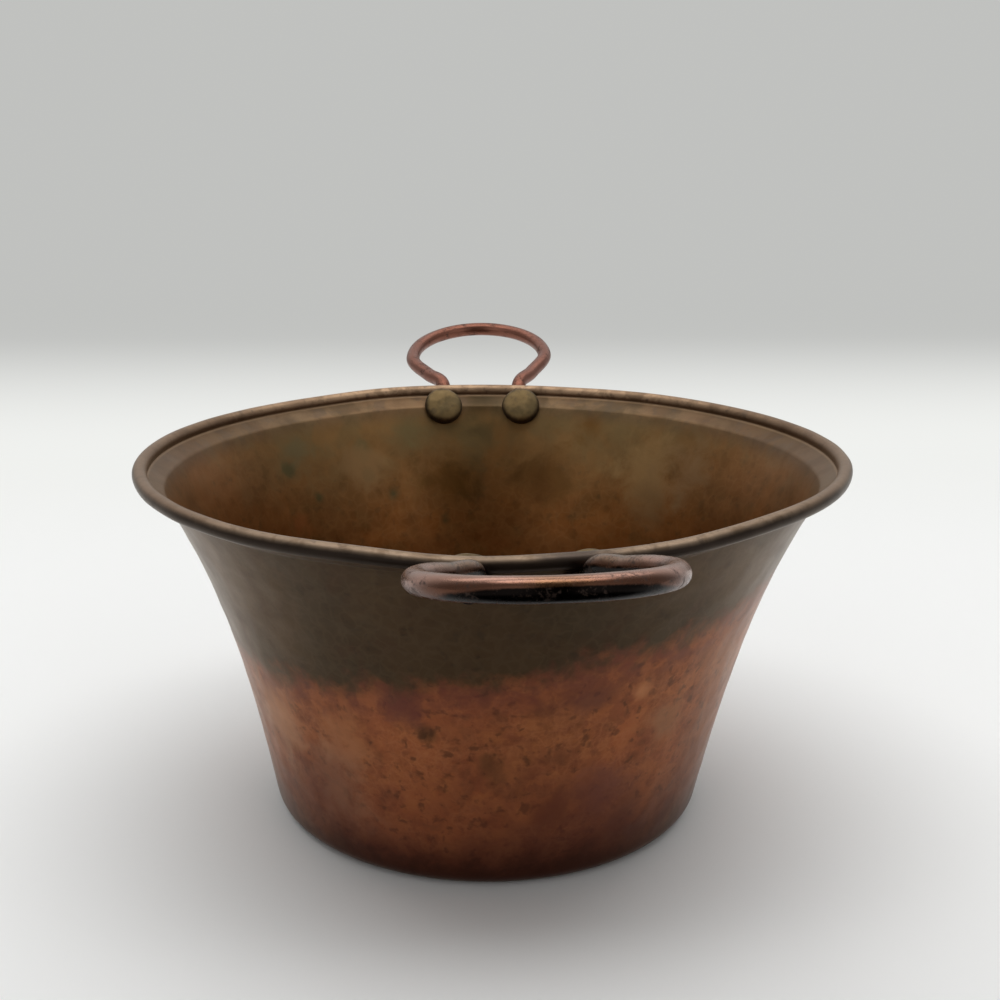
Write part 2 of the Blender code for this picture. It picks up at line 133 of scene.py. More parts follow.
def sheet_stretches():
    """The middle of the sheet in section, as radius and height, in stretches: a flat base, an arc round
    the foot, the wall's own curve, an arc at the crease, the straight lip, an arc of the opposite hand
    in the hollow, and an arc of most of a turn over the wire."""
    corner_radius = FOOT_FILLET - HALF_SHEET
    tangent = corner_radius * math.tan((math.pi / 2 - FOOT_LEAN) / 2)
    flat = FOOT_RADIUS + SLOPE * HALF_SHEET - tangent
    base = np.column_stack((np.linspace(0.0, flat, 12), np.full(12, HALF_SHEET)))
    corner = arc((flat, HALF_SHEET + corner_radius), corner_radius, -math.pi / 2, -FOOT_LEAN, 8)
    across, up = BEAD_CENTRE - CREASE
    lip_lean = math.pi / 2 - math.atan2(up, across) + math.asin(BEAD_PROUD / math.hypot(across, up))
    lip = np.array((math.sin(lip_lean), math.cos(lip_lean)))
    lean = math.atan(SLOPE + FLARE * FLARE_POWER / CREASE[1])
    rise = np.array((math.sin(lean), math.cos(lean)))
    top = CREASE - CREASE_BEND * math.tan((lip_lean - lean) / 2) * rise
    heights = np.linspace(corner[-1][1], top[1], 84)
    wall = np.column_stack((wall_radius(heights), heights))
    wall[-1] = top
    bend_centre = top + CREASE_BEND * np.array((rise[1], -rise[0]))
    bend = arc(bend_centre, CREASE_BEND, math.pi - lean, math.pi - lip_lean, 5)
    reach = BEAD_ROOT + BEAD_RADIUS - HALF_SHEET
    length = (BEAD_CENTRE - CREASE) @ lip - math.sqrt(reach**2 - (BEAD_PROUD - BEAD_ROOT) ** 2)
    hollow_centre = CREASE + length * lip - BEAD_ROOT * np.array((lip[1], -lip[0]))
    to_bead = BEAD_CENTRE - hollow_centre
    hollow = arc(hollow_centre, BEAD_ROOT, -lip_lean, math.atan2(to_bead[1], to_bead[0]), 6)
    lip_run = bend[-1] + np.linspace(0.0, 1.0, 6)[:, None] * (hollow[0] - bend[-1])
    start = math.atan2(-to_bead[1], -to_bead[0]) % (2 * math.pi)
    kept_off = BEAD_ROOT + HALF_SHEET + CURL_SLOT
    opening = math.acos((BEAD_RADIUS**2 + reach**2 - kept_off**2) / (2 * BEAD_RADIUS * reach))
    roll = arc(BEAD_CENTRE, BEAD_RADIUS - HALF_SHEET, start, start - 2 * math.pi + opening, 32)
    return base, corner[1:], wall[1:], bend[1:], lip_run[1:], hollow[1:], roll[1:]


def hammer_marks(turn, along):
    """Height of the hammered skin, in depths of a mark. Each blow of a scattered lattice leaves a hollow
    that rises with the square of the distance d from its middle, and a soft minimum of them all,
    -log(sum(exp(-k d^2))) / k, rounds the ridges between."""
    rows = int(along.max() / BLOW_HEIGHT) + 4
    scatter = np.random.default_rng(11).uniform(-BLOW_SCATTER, BLOW_SCATTER, (2, rows, BLOWS_ROUND))
    u, v = turn * BLOWS_ROUND / (2 * math.pi), along / BLOW_HEIGHT + 1
    total = 0.0
    for i in (-1, 0, 1):
        for j in (-1, 0, 1):
            column, row = np.floor(u).astype(int) + i, np.floor(v).astype(int) + j
            shift = scatter[:, row, column % BLOWS_ROUND]
            away = (u - column - 0.5 - shift[0]) ** 2 + (v - row - 0.5 - shift[1]) ** 2
            total = total + np.exp(-BLOW_SHARPNESS * away)
    return -np.log(total) / BLOW_SHARPNESS


def bells(turn, curves):
    """The sum of bell curves s exp(-((t - a) / w)^2), each of a size s, an azimuth a and a width w."""
    return sum(size * np.exp(-(((turn - azimuth) / width) ** 2)) for size, azimuth, width in curves)


def sagged(points):
    """Moves points to where lifting by the front handle has pulled them: down at both of its legs, deeper
    on the left, and there sideways too. The pull grows with the square of the height and ends along the
    legs."""
    turn = np.degrees(np.arctan2(points[..., 1], points[..., 0]))
    pull = np.clip(points[..., 2] / RIM_HEIGHT, 0.0, None) ** 2 * MM
    pull = pull * (1 - eased(np.hypot(points[..., 0], points[..., 1]), PULL_FADES, PULL_ENDS))
    moved = points.copy()
    moved[..., 0] += bells(turn, SWAYS) * pull
    moved[..., 2] -= bells(turn, SAGS) * pull
    return moved


def as_raised(points):
    """Moves true round points to where hammer and handle left them. The foot slides to the left in step
    with its distance from the rim. The rim sags, and away from the handles it dips and rises in waves."""
    turn = np.arctan2(points[..., 1], points[..., 0])
    height = points[..., 2] / RIM_HEIGHT
    calm = 1.0
    for azimuth in CALM_AZIMUTHS:
        away = np.abs((turn - math.radians(azimuth) + math.pi) % (2 * math.pi) - math.pi)
        calm = calm * eased(away, CALM, WAVY)
    waves = enumerate(RIM_WAVES, 1)
    wave = sum(size * np.cos(times * (turn - math.radians(crest))) for times, (size, crest) in waves)
    moved = sagged(points)
    moved[..., 0] += FOOT_SHIFT * (1 - height)
    moved[..., 2] += calm * wave * MM * np.clip(height, 0.0, None) ** 2
    return moved


def added(name, data):
    """A new object in the scene."""
    made = bpy.data.objects.new(name, data)
    bpy.context.scene.collection.objects.link(made)
    return made


def skin(name, rings, closed=True):
    """A mesh over rings of points: four-sided faces from each ring to the next, with a fan of triangles
    to the middle of the first and last ring, or the last ring joined to the first."""
    count, sides = rings.shape[:2]
    index = np.arange(count * sides).reshape(count, sides)
    points = rings.reshape(-1, 3)
    loops = index if closed else np.vstack((index, index[:1]))
    near, far = loops[:-1], loops[1:]
    quads = np.stack((near, np.roll(near, -1, 1), np.roll(far, -1, 1), far), axis=-1)
    faces = quads.reshape(-1, 4).tolist()
    if closed:
        points = np.vstack((points, rings[0].mean(axis=0), rings[-1].mean(axis=0)))
        first, last = np.full(sides, count * sides), np.full(sides, count * sides + 1)
        faces += np.column_stack((first, np.roll(index[0], -1), index[0])).tolist()
        faces += np.column_stack((last, index[-1], np.roll(index[-1], -1))).tolist()
    mesh = bpy.data.meshes.new(name)
    mesh.from_pydata(points.tolist(), [], faces)
    mesh.shade_smooth()
    mesh.set_sharp_from_angle(angle=math.radians(50))
    return added(name, mesh)


def mark(piece, name, values, at_ends=(0.0, 0.0)):
    """Writes one number for each point of a piece, and for the middles of its ends, for its material."""
    layer = piece.data.attributes.new(name, "FLOAT", "POINT")
    layer.data.foreach_set("value", np.append(values, at_ends).astype(np.float32))


stretches = sheet_stretches()
sheet_line = np.vstack(stretches)
gone = gone_along(sheet_line)
ends = gone[np.cumsum([len(stretch) for stretch in stretches]) - 1]
base_end, foot_end, wall_end, crease_end, lip_end, hollow_end, _ = ends
bead_out = gone[np.argmax(sheet_line[:, 0])]  # the bead's outermost line
along, turn = np.meshgrid(gone[1:], full_turn(PAN_COLUMNS), indexing="ij")
on_wall = eased(along, base_end, foot_end + 12 * MM)
on_wall *= 1 - eased(along, wall_end + 1 * MM, lip_end)
on_wall *= 1 - 0.6 * eased(along, wall_end - 9 * MM, wall_end)
up_wall = np.clip((along - foot_end) / (wall_end - foot_end), 0.0, 1.0)
height = BLOW_DEPTH * (hammer_marks(turn, along) - MEAN_MARK) * on_wall
height += SLOW_SWELL * np.sin(5 * turn + 0.6 + 3 * up_wall) * np.sin(math.pi * up_wall)
height += QUICK_SWELL * np.sin(9 * turn - 4 * up_wall) * np.sin(math.pi * up_wall) ** 2
on_bead = eased(along, hollow_end - 1 * MM, hollow_end + 1.5 * MM)
dressed = -BEAD_DRESSING * on_bead * (1 + np.sin(23 * turn + 2 * np.sin(5 * turn))) / 2
base_marks = BASE_DEPTH * (hammer_marks(3 * turn, along) - MEAN_MARK) * (1 - on_wall)
base_marks *= eased(along, 0.0, 20 * MM) * (1 - eased(along, base_end - 6 * MM, base_end))
faces_of_sheet = []
for side in (1, -1):
    face = offset(sheet_line, side * HALF_SHEET)[1:]
    out = unit(offset(sheet_line, 1.0)[1:] - sheet_line[1:])
    lift = height + (base_marks if side < 0 else 0.0)
    radius = face[:, :1] + out[:, :1] * lift + dressed
    faces_of_sheet.append(turned(radius, turn, face[:, 1:] + out[:, 1:] * lift))
rings = as_raised(np.concatenate((faces_of_sheet[0], faces_of_sheet[1][::-1])))
pan = skin("pan_sheet", rings)
pan.data.vertices[-2].co = as_raised(0 * UP)  # the middles of the base's two faces
pan.data.vertices[-1].co = as_raised(SHEET * UP)
mark(pan, "inside", np.repeat((0.0, 1.0), along.size), (0.0, 1.0))
mark(pan, "along", np.concatenate((along, along[::-1])))

# The finishes are put together from these small helpers.


def plug(made, sockets):
    """Sets or links a node's sockets, by name or by number."""
    for key, value in sockets.items():
        if isinstance(value, bpy.types.NodeSocket):
            made.id_data.links.new(value, made.inputs[key])
        elif isinstance(value, tuple) and made.inputs[key].type == "RGBA":
            made.inputs[key].default_value = (*value, 1.0)
        else:
            made.inputs[key].default_value = value


def node(kind, sockets, tree=None, **settings):
    """Adds a node to a tree, or to that of the sockets linked to it, and gives it settings and sockets."""
    if tree is None:
        tree = next(value.id_data for value in sockets.values() if isinstance(value, bpy.types.NodeSocket))
    made = tree.nodes.new("ShaderNode" + kind)
    for setting, value in settings.items():
        setattr(made, setting, value)
    plug(made, sockets)
    return made


def over(share, under, top):
    """A colour that goes from one to the other as the share goes from nought to one."""
    return node("Mix", {0: share, 6: under, 7: top}, data_type="RGBA").outputs[2]


def between(value, low, high, start=0.0, end=1.0):
    """Goes smoothly from start to end while the value goes from low to high."""
    ranges = {0: value, 1: low, 2: high, 3: start, 4: end}
    return node("MapRange", ranges, interpolation_type="SMOOTHSTEP").outputs[0]


def reckon(operation, *values):
    """Arithmetic on one or two values."""
    return node("Math", dict(enumerate(values)), operation=operation).outputs[0]


def plus(value, *shares):
    """A value plus others, each times a number."""
    for other, times in shares:
        value = node("Math", {0: other, 1: times, 2: value}, operation="MULTIPLY_ADD").outputs[0]
    return value


def clouds(place, size, detail=3.0, roughness=0.5, swirl=0.0):
    """Soft noise about one half, with patches of about this size."""
    sockets = {"Vector": place, "Scale": 1 / size, "Detail": detail, "Roughness": roughness}
    return node("TexNoise", {**sockets, "Distortion": swirl}).outputs[0]


def strayed(place, size, reach):
    """Places pushed about by noise of this size, so that a pattern on them runs unevenly."""
    push = node("TexNoise", {"Vector": place, "Scale": 1 / size, "Detail": 2.0}).outputs[1]
    strength = (reach, reach, reach)
    return node("VectorMath", {0: push, 1: strength, 2: place}, operation="MULTIPLY_ADD").outputs[0]


def veins(place, size):
    """A soft net between rounded cells of this size: rises from the cells' middles to the net."""
    cells = {"Vector": place, "Scale": 1 / size, "Smoothness": 0.35, "Randomness": 1.0}
    middle = node("TexVoronoi", cells, feature="SMOOTH_F1").outputs[0]
    return between(middle, 0.15, 0.62)


def seams(place, size):
    """A thin net along the edges between cells of this size."""
    cells = {"Vector": place, "Scale": 1 / size, "Randomness": 1.0}
    edge = node("TexVoronoi", cells, feature="DISTANCE_TO_EDGE").outputs[0]
    return between(edge, 0.0, 0.17, 1.0, 0.0)


def patch(place, cloud, centre, size):
    """A soft patch about a point, gone at about this size from it, whose edge wanders as the cloud says."""
    away = node("VectorMath", {0: place, 1: tuple(centre)}, operation="DISTANCE").outputs[1]
    return between(plus(away, (cloud, 2.4 * size)), 1.3 * size, 2.3 * size, 1.0, 0.0)


def coated(ground, *coats):
    """The ground under coats of colour. A coat's share goes smoothly from start to end while its cloud goes
    from low to high."""
    for cloud, low, high, start, end, colour in coats:
        ground = over(between(cloud, low, high, start, end), ground, colour)
    return ground


def washed(ground, *washes):
    """The ground under washes of colour, each as strong as its share times a number says."""
    for share, strength, colour in washes:
        ground = over(reckon("MULTIPLY", share, strength), ground, colour)
    return ground


def stained(place, cloud, ground, strength, stains):
    """The ground with soft patches on the pan's wall, each by azimuth, height, size and colour."""
    for azimuth, height, size, colour in stains:
        turn, rise = math.radians(azimuth), height * MM
        centre = (wall_radius(rise) * math.cos(turn), wall_radius(rise) * math.sin(turn), rise)
        ground = washed(ground, (patch(place, cloud, centre, size * MM), strength, colour))
    return ground


def bumps(relief, strength, depth):
    """The shading of a skin that is uneven by this depth."""
    return node("Bump", {"Strength": strength, "Distance": depth, "Height": relief}).outputs[0]


def finish(name):
    """A new material, with its shader and its place on the object."""
    material = bpy.data.materials.new(name)
    material.use_nodes = True
    place = node("TexCoord", {}, material.node_tree).outputs["Object"]
    return material, material.node_tree.nodes["Principled BSDF"], place


def marked(material, name):
    """The number written on the piece under this name."""
    return node("Attribute", {}, material.node_tree, attribute_name=name).outputs["Fac"]


# Stains on the wall, outside and inside: azimuth in degrees, height and size in millimetres, colour.
STAINS_OUTSIDE = (
    (-107, 57.5, 4, (0.05, 0.024, 0.009)),
    (-95, 47, 6, (0.08, 0.035, 0.012)),
    (-112, 68, 9, (0.11, 0.038, 0.03)),
    (-74, 68, 9, (0.11, 0.038, 0.028)),
    (-63, 17.5, 9, (0.07, 0.021, 0.013)),
    (-65, 69, 5, (0.46, 0.19, 0.08)),
    (-57, 56, 11, (0.25, 0.115, 0.056)),
    (-70, 34, 15, (0.16, 0.056, 0.042)),
    (-130, 30, 20, (0.36, 0.18, 0.10)),
    (-145, 52, 21, (0.42, 0.2, 0.1)),
    (-125, 54, 12, (0.37, 0.145, 0.06)),
    (-57.5, 13, 6, (0.07, 0.02, 0.012)),
    (-80, 28, 12, (0.13, 0.036, 0.016)),
    (20, 50, 22, (0.19, 0.07, 0.045)),
    (75, 62, 18, (0.14, 0.052, 0.034)),
    (130, 40, 22, (0.2, 0.07, 0.042)),
    (165, 64, 12, (0.44, 0.18, 0.085)),
)
STAINS_INSIDE = (
    (137.5, 100, 3.5, (0.07, 0.062, 0.024)),
    (131.5, 87, 3, (0.06, 0.056, 0.02)),
    (111, 84, 4, (0.045, 0.055, 0.024)),
    (133, 106, 8, (0.14, 0.105, 0.048)),
    (117, 104, 6, (0.1, 0.085, 0.036)),
    (116.5, 92.5, 3, (0.06, 0.06, 0.024)),
    (91, 104, 14, (0.16, 0.11, 0.045)),
    (105, 106, 12, (0.14, 0.1, 0.04)),
    (46, 97, 18, (0.28, 0.16, 0.062)),
    (36, 99, 16, (0.23, 0.128, 0.056)),
    (44, 83, 12, (0.2, 0.108, 0.042)),
    (97, 88, 15, (0.085, 0.034, 0.003)),
    (73, 89, 16, (0.09, 0.034, 0.004)),
    (63, 112, 10, (0.12, 0.047, 0.006)),
    (98, 72, 3, (0.06, 0.045, 0.015)),
    (139, 80, 8, (0.26, 0.09, 0.025)),
    (118, 96, 14, (0.21, 0.112, 0.044)),
    (-80, 60, 9, (0.1, 0.09, 0.05)),
    (-140, 80, 8, (0.09, 0.09, 0.05)),
)

BAND_SLANT = 14.0 / 95.0  # the dark band's edge rises this steeply to the right


def pan_finish():
    """Outside, bare copper with a faint net of paler veins, blotches and dark freckles, darker and maroon
    towards the foot and near black at it, which is painted shade, below a dark band whose edge is a slanting
    plane pushed about by noise. Inside, brown copper with a hazy top, green spots and stains, under a
    grey-brown lip and a paler bead. Lip and bead are painted darker towards the sides, and the bead towards
    the front, as shade; the bead's underside is painted near black as shade, and a paler line along the fold
    between lip and bead is painted light."""
    material, shader, place = finish("patinated copper")
    x, y, z = node("SeparateXYZ", {0: place}).outputs
    inside = marked(material, "inside")
    run = marked(material, "along")
    slow = clouds(place, 38 * MM, 3.0, 0.55, 0.3)
    medium = clouds(place, 13 * MM, 4.0, 0.6, 0.4)
    small = clouds(place, 4.2 * MM, 3.0, 0.6)
    freckle = clouds(strayed(place, 7 * MM, 4 * MM), 3.8 * MM, 2.5, 0.55)
    grain = clouds(place, 0.9 * MM, 2.0, 0.6)
    net = veins(strayed(place, 5 * MM, 5 * MM), 6.0 * MM)
    web = seams(strayed(place, 5 * MM, 6 * MM), 4.6 * MM)
    fine_web = seams(strayed(place, 3 * MM, 4 * MM), 2.4 * MM)
    worn = clouds(strayed(place, 20 * MM, 20 * MM), 17 * MM, 2.0, 0.5)
    blotch = clouds(strayed(place, 9 * MM, 9 * MM), 8 * MM, 3.0, 0.6)

    # bare copper below the band
    bare = over(between(slow, 0.38, 0.6), (0.30, 0.088, 0.03), (0.215, 0.07, 0.024))
    bare = coated(
        bare,
        (medium, 0.44, 0.66, 0.0, 0.6, (0.165, 0.043, 0.02)),
        (blotch, 0.5, 0.64, 0.0, 0.45, (0.37, 0.125, 0.04)),
        (blotch, 0.34, 0.46, 0.5, 0.0, (0.13, 0.042, 0.018)),
    )
    shown = between(worn, 0.42, 0.6, 0.04, 0.16)
    bare = washed(
        bare,
        (net, 0.22, (0.38, 0.13, 0.05)),
        (web, shown, (0.50, 0.19, 0.08)),
        (fine_web, shown, (0.42, 0.16, 0.07)),
    )
    bare = coated(
        bare,
        (freckle, 0.56, 0.7, 0.0, 0.66, (0.085, 0.03, 0.013)),
        (small, 0.54, 0.72, 0.0, 0.4, (0.12, 0.036, 0.017)),
    )
    bare = stained(place, medium, bare, 0.7, STAINS_OUTSIDE)
    # darker and maroon towards the foot, then near black at the foot itself: painted shade where the foot
    # meets the table
    bare = coated(
        bare,
        (plus(z, (slow, -60 * MM)), -22 * MM, 20 * MM, 0.6, 0.0, (0.135, 0.038, 0.024)),
        (plus(z, (medium, -18 * MM)), -6 * MM, 12 * MM, 0.9, 0.0, (0.048, 0.0105, 0.005)),
    )

    # the dark band, and its fringe
    ragged = plus(z, (x, -BAND_SLANT), (medium, -22 * MM), (small, -6 * MM))
    band = between(ragged, 58.5 * MM, 69.5 * MM)
    fringe = between(ragged, 48 * MM, 60 * MM, 0.0, 0.7)
    fringe = reckon("MULTIPLY", fringe, between(blotch, 0.42, 0.6, 1.0, 0.45))
    bare = over(fringe, bare, (0.135, 0.038, 0.026))
    dark = over(between(slow, 0.4, 0.6), (0.054, 0.029, 0.011), (0.04, 0.024, 0.01))
    dark = coated(
        dark,
        (medium, 0.5, 0.7, 0.0, 0.7, (0.052, 0.024, 0.0095)),
        (freckle, 0.56, 0.74, 0.0, 0.5, (0.026, 0.016, 0.008)),
        (small, 0.6, 0.76, 0.0, 0.55, (0.024, 0.014, 0.007)),
    )
    dark = washed(dark, (net, 0.16, (0.08, 0.052, 0.026)), (web, 0.14, (0.11, 0.072, 0.04)))
    outside = over(band, bare, dark)

    # the inside
    warm = over(between(slow, 0.38, 0.62), (0.19, 0.066, 0.012), (0.14, 0.054, 0.012))
    warm = coated(warm, (medium, 0.48, 0.68, 0.0, 0.65, (0.115, 0.056, 0.014)))
    warm = washed(warm, (net, 0.2, (0.30, 0.125, 0.038)), (web, 0.14, (0.30, 0.14, 0.05)))
    warm = coated(warm, (freckle, 0.58, 0.72, 0.0, 0.4, (0.08, 0.042, 0.012)))
    aside = between(reckon("ABSOLUTE", x), 60 * MM, 112 * MM)
    haze = plus(z, (medium, -45 * MM), (aside, -26 * MM))
    hazy = over(between(worn, 0.42, 0.6), (0.16, 0.105, 0.042), (0.2, 0.112, 0.04))
    warm = coated(warm, (haze, 50 * MM, 92 * MM, 0.0, 0.85, hazy))
    warm = stained(place, medium, warm, 0.75, STAINS_INSIDE)

    # the lip and the bead
    lip = between(run, wall_end - 7 * MM, crease_end + 1.5 * MM, 0.0, 0.85)
    lipped = over(between(medium, 0.42, 0.62), (0.15, 0.093, 0.049), (0.092, 0.058, 0.03))
    lipped = coated(lipped, (worn, 0.45, 0.6, 0.0, 0.45, (0.15, 0.085, 0.045)))
    # the lip darker towards the sides: painted shade that tones down its bright side reflections
    lipped = washed(lipped, (aside, 0.7, (0.09, 0.05, 0.024)))
    tarnish = between(blotch, 0.5, 0.62, 0.0, 0.55)
    lipped = over(tarnish, lipped, (0.078, 0.056, 0.04))
    between_rivets = patch(place, medium, (4 * MM, 112 * MM, 118 * MM), 13 * MM)
    lipped = over(between_rivets, lipped, (0.03, 0.022, 0.01))
    warm = over(lip, warm, lipped)
    bead = between(run, lip_end - 0.5 * MM, hollow_end + 1 * MM)
    beaded = over(between(medium, 0.42, 0.62), (0.4, 0.265, 0.163), (0.29, 0.188, 0.114))
    # the bead darker and greyer towards the front: painted shade that dims its highlight there
    beaded = coated(beaded, (y, -70 * MM, 10 * MM, 0.85, 0.0, (0.225, 0.163, 0.114)))
    beaded = over(tarnish, beaded, (0.13, 0.08, 0.044))
    gripped = patch(place, medium, (14 * MM, -119 * MM, 123 * MM), 14 * MM)
    # the bead darker towards the sides, painted shade against its bright side reflections, and darker near the
    # front handle where it is gripped
    beaded = washed(beaded, (aside, 0.8, (0.13, 0.076, 0.044)), (gripped, 0.85, (0.045, 0.033, 0.028)))
    beaded = coated(beaded, (small, 0.58, 0.7, 0.0, 0.6, (0.11, 0.075, 0.052)))
    # the bead's underside, past its outermost line, painted near black: painted shade
    under = between(plus(run, (medium, 0.8 * MM)), bead_out - 1.6 * MM, bead_out)
    beaded = over(under, beaded, (0.02, 0.012, 0.008))
    warm = over(bead, warm, beaded)
    # a paler line along the fold between lip and bead: painted light that lifts the shade of the hollow
    from_fold = reckon("ABSOLUTE", reckon("SUBTRACT", run, (lip_end + hollow_end) / 2))
    warm = coated(warm, (from_fold, 0.7 * MM, 1.6 * MM, 0.85, 0.0, (0.24, 0.155, 0.09)))
    colour = over(reckon("MAXIMUM", inside, bead), outside, warm)

    roughness = between(medium, 0.3, 0.7, 0.33, 0.44)
    roughness = plus(roughness, (freckle, 0.06), (grain, 0.05), (lip, 0.12))
    relief = plus(reckon("MULTIPLY", small, 1.2), (grain, 0.3), (web, 0.15))
    plug(shader, {"Base Color": colour, "Roughness": roughness, "Metallic": 0.92})
    plug(shader, {"Specular Tint": (0.95, 0.82, 0.7), "Normal": bumps(relief, 0.3, 0.12 * MM)})
    plug(shader, {"Coat Weight": 1.0, "Coat IOR": 1.14, "Coat Roughness": 0.32})
    return material


pan.data.materials.append(pan_finish())
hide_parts("pan_body")
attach(pan, "root")

# The rim wire: drawn iron, bent to a ring and closed inside the rolled edge. It shows only through the slot
# underneath, and follows the rim's waves and its sag.
WIRE_CLEARANCE = 0.3 * MM
WIRE_COLUMNS, WIRE_SIDES = 240, 16
wire_line = arc(BEAD_CENTRE, BEAD_RADIUS - SHEET - WIRE_CLEARANCE, 0.0, 2 * math.pi, WIRE_SIDES)[:-1]
wire_rings = turned(wire_line[:, 0], -full_turn(WIRE_COLUMNS)[:, None], wire_line[:, 1])
wire = skin("rim_wire_ring", as_raised(wire_rings), closed=False)


def wire_finish():
    """Grey drawn iron with brown rust in patches."""
    material, shader, place = finish("rusty iron wire")
    rust = between(clouds(place, 6 * MM, 4.0, 0.6), 0.45, 0.6)
    colour = over(rust, (0.13, 0.12, 0.115), (0.14, 0.06, 0.03))
    roughness = between(rust, 0.0, 1.0, 0.45, 0.85)
    plug(shader, {"Base Color": colour, "Roughness": roughness, "Metallic": 0.7})
    plug(shader, {"Normal": bumps(rust, 0.4, 0.1 * MM)})
    return material


wire.data.materials.append(wire_finish())
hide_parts("rim_wire")
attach(wire, "root")

# The two handles: copper rod of about 6 mm, bent into a loop whose ends dip under the bead, run up against
# the sheet below the crease and are beaten out there into round palms, one for each rivet.
ROD_DIAMETER = 6.0 * MM
ROD_RADIUS = ROD_DIAMETER / 2
ROD_SIDES = 36
ROD_SWELL = 0.0045  # share of the rod's thickness, for each of the waves below
ROD_WAVES = ((7.1, 0, 1.0), (3.3, 2, 1.0), (11.0, -1, 1.0), (4.9, 3, 0.7))  # run in mm, turns, size
LOOP_REACH = 73.3 * MM  # from the bead out to the middle of the grip
SHOULDER_REACH = 40.0 * MM  # out to where the loop is widest
LOOP_WIDTH = 60.0 * MM
HANDLE_RISE = math.radians(13.7)
HANDLE_DROP = 1.0 * MM
LEG_SPREAD = 33.2 * MM  # at the rim
NECK_LENGTH = 8.5 * MM
LEG_REACH, LEG_MIDDLE_SPREAD = 20.0 * MM, 45.0 * MM
TWISTS = {"front": math.radians(1.1), "rear": math.radians(-2.1)}  # each loop was set a little askew
TWIST_STARTS, TWIST_ENDS = 3 * MM, 30 * MM  # beyond the bead
REAR_OFFSET = math.radians(2.0)
UNDER_CLEARANCE = 0.55 * MM  # between the rod and the bead above it
UNDER_IN, UNDER_OUT = math.radians(-106.0), math.radians(-48.0)
PALM_WIDTH = 14.0 * MM
PALM_RADIUS = PALM_WIDTH / 2
PALM_THICKNESS = 3.4 * MM
PALM_BEND = math.radians(4.0)
PALM_SQUARENESS = 3.6
PALM_FLAT = 4.5 * MM
PALM_TAPER = 8.5 * MM
PALM_NARROWING = 19.0 * MM
PALM_STANDOFF = 0.6 * MM
PALM_FACE = -(HALF_SHEET + PALM_STANDOFF + PALM_THICKNESS)  # on the rivet's axis
SPOT_FACE = PALM_FACE + 0.2 * MM  # the seat cut for the rivet's outer head
SEAT_GAP = 0.3 * MM
SHANK_RADIUS = 4.5 * MM / 2
PEENED_RADIUS = 8.4 * MM / 2
SLIVER = 0.002 * MM  # points nearer than this are merged once the holes are drilled
PAINTED_DARK_TILT, PAINTED_DARK_INSIDE = math.radians(15), 0.04  # the painted dark band faces this far down from level; painted shade reaches further on the loop's inner side
RIVET_TILT = math.radians(38.0)
RIVET_SPACING = 33.0 * MM
RIVET_AZIMUTH = math.asin(RIVET_SPACING / 2 / CREASE[0])
SIDES = {"front": 0.0, "rear": math.pi - REAR_OFFSET}
HANDS = {"left": -RIVET_AZIMUTH, "right": RIVET_AZIMUTH}
to_rivet = np.array((math.sin(RIVET_AZIMUTH), -math.cos(RIVET_AZIMUTH), 0.0))
palm_through = math.cos(RIVET_TILT) * to_rivet - math.sin(RIVET_TILT) * UP
seat_line = np.vstack((*stretches[1:5], stretches[5][:1]))
seat_line = np.vstack((seat_line, 2 * seat_line[-1] - seat_line[-3]))


def spline(knots, start_direction, end_direction):
    """A smooth curve through the knots, cubic between each two and paced by the distance between them."""
    gaps = np.linalg.norm(np.diff(knots, axis=0), axis=1)
    slopes = np.diff(knots, axis=0) / gaps[:, None]
    directions = np.vstack((start_direction, slopes[1:], end_direction))
    weights = gaps[:-1, None] + gaps[1:, None]
    directions[1:-1] = (slopes[:-1] * gaps[1:, None] + slopes[1:] * gaps[:-1, None]) / weights
    t = np.linspace(0.0, 1.0, 60, endpoint=False)[:, None]
    spans = [
        (2 * t**3 - 3 * t**2 + 1) * knots[i]
        + (t**3 - 2 * t**2 + t) * gap * directions[i]
        + (3 * t**2 - 2 * t**3) * knots[i + 1]
        + (t**3 - t**2) * gap * directions[i + 1]
        for i, gap in enumerate(gaps)
    ]
    return np.vstack(spans + [knots[-1:]])


def on_handle_plane(reach, side):
    """Points of the handle's plane, which rises outwards from just below the bead."""
    out = BEAD_CENTRE[0] + reach * math.cos(HANDLE_RISE)
    up = BEAD_CENTRE[1] - HANDLE_DROP + reach * math.sin(HANDLE_RISE)
    return np.stack((side + 0 * out, -out, up), axis=-1)


def half_centre_line():
    """The centre line from a palm's tip to the middle of the grip: a smooth curve through the rivet's
    place, two points under the bead and three along the leg, and then a quarter of an ellipse."""
    at_rivet = CREASE[0] * to_rivet + CREASE[1] * UP
    at_rivet += (HALF_SHEET + PALM_STANDOFF + PALM_THICKNESS / 2) * palm_through
    steep = RIVET_TILT - PALM_BEND
    down = -math.sin(steep) * to_rivet - math.cos(steep) * UP
    under = []
    for turn in (UNDER_IN, UNDER_OUT):
        reach = BEAD_RADIUS + UNDER_CLEARANCE + ROD_RADIUS
        out, up = BEAD_CENTRE + reach * np.array((math.cos(turn), math.sin(turn)))
        under.append(np.array((LEG_SPREAD / 2, -math.sqrt(out**2 - LEG_SPREAD**2 / 4), up)))
    leg = (
        on_handle_plane(NECK_LENGTH, LEG_SPREAD / 2),
        on_handle_plane(LEG_REACH, LEG_MIDDLE_SPREAD / 2),
        on_handle_plane(SHOULDER_REACH, LOOP_WIDTH / 2),
    )
    knots = np.array((at_rivet + PALM_RADIUS * down, at_rivet, *under, *leg))
    outwards = np.array((0.0, -math.cos(HANDLE_RISE), math.sin(HANDLE_RISE)))
    turn = np.linspace(0.0, math.pi / 2, 240)[1:]
    reach = SHOULDER_REACH + (LOOP_REACH - SHOULDER_REACH) * np.sin(turn)
    return np.vstack((spline(knots, -down, outwards), on_handle_plane(reach, LOOP_WIDTH / 2 * np.cos(turn))))


